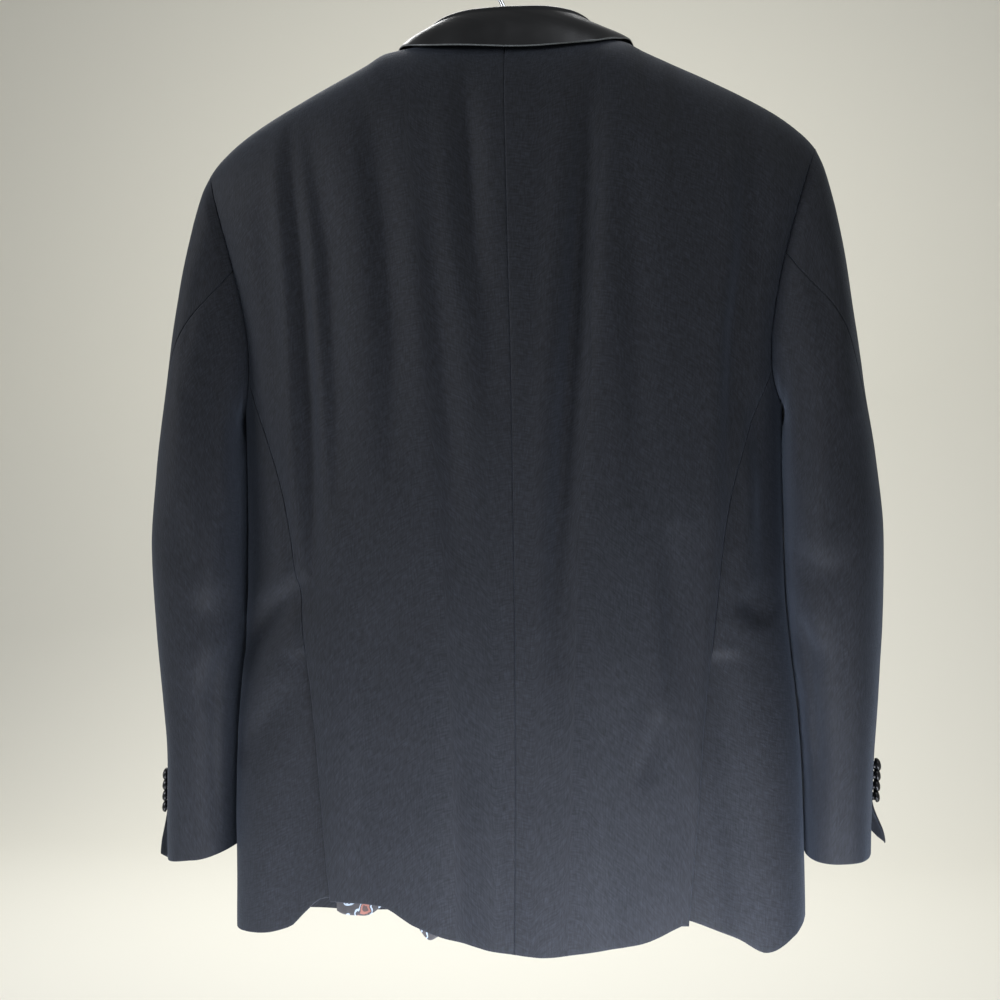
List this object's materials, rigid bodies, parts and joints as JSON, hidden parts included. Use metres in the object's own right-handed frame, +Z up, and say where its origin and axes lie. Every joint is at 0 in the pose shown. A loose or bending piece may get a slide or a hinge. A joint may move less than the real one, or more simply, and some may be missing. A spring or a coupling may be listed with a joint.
{
  "type": "tuxedo jacket on a hanger",
  "caption": "Dark wool dinner jacket with satin collar and lapels, buttoned and hanging from a plain wooden hanger, its neck, hem and cuffs open.",
  "frame": {"origin": "highest point of the inside of the hanger's hook, where it hangs on a rail or peg", "axes": "+Z up, +X towards the wearer's left, +Y out of the jacket's back"},
  "size_m": [0.6164, 0.1645, 0.8607],
  "materials": {
    "wool": "worsted wool, midnight black, matt with a slight bloom",
    "satin": "silk satin, soft sheen",
    "covered_button": "satin stretched over a shank button",
    "lining": "printed lining, pale blue and rust motifs on a dark ground",
    "hanger_wood": "lacquered hardwood",
    "hook_steel": "plated wire"
  },
  "bodies": {
    "root": {"back_left": "wool", "side_left": "wool", "front_left": "wool", "sleeve_top_left": "wool", "sleeve_under_left": "wool", "lapel_left": "satin", "pocket_jet_left": "satin", "cuff_button_left_1": "covered_button", "cuff_button_left_2": "covered_button", "cuff_button_left_3": "covered_button", "cuff_button_left_4": "covered_button", "back_right": "wool", "side_right": "wool", "front_right": "wool", "sleeve_top_right": "wool", "sleeve_under_right": "wool", "lapel_right": "satin", "pocket_jet_right": "satin", "cuff_button_right_1": "covered_button", "cuff_button_right_2": "covered_button", "cuff_button_right_3": "covered_button", "cuff_button_right_4": "covered_button", "breast_welt": "satin", "collar": "satin", "lining_hem": "lining", "front_button": "covered_button", "hanger_bar": "hanger_wood", "hanger_hook": "hook_steel"}
  },
  "joints": []
}
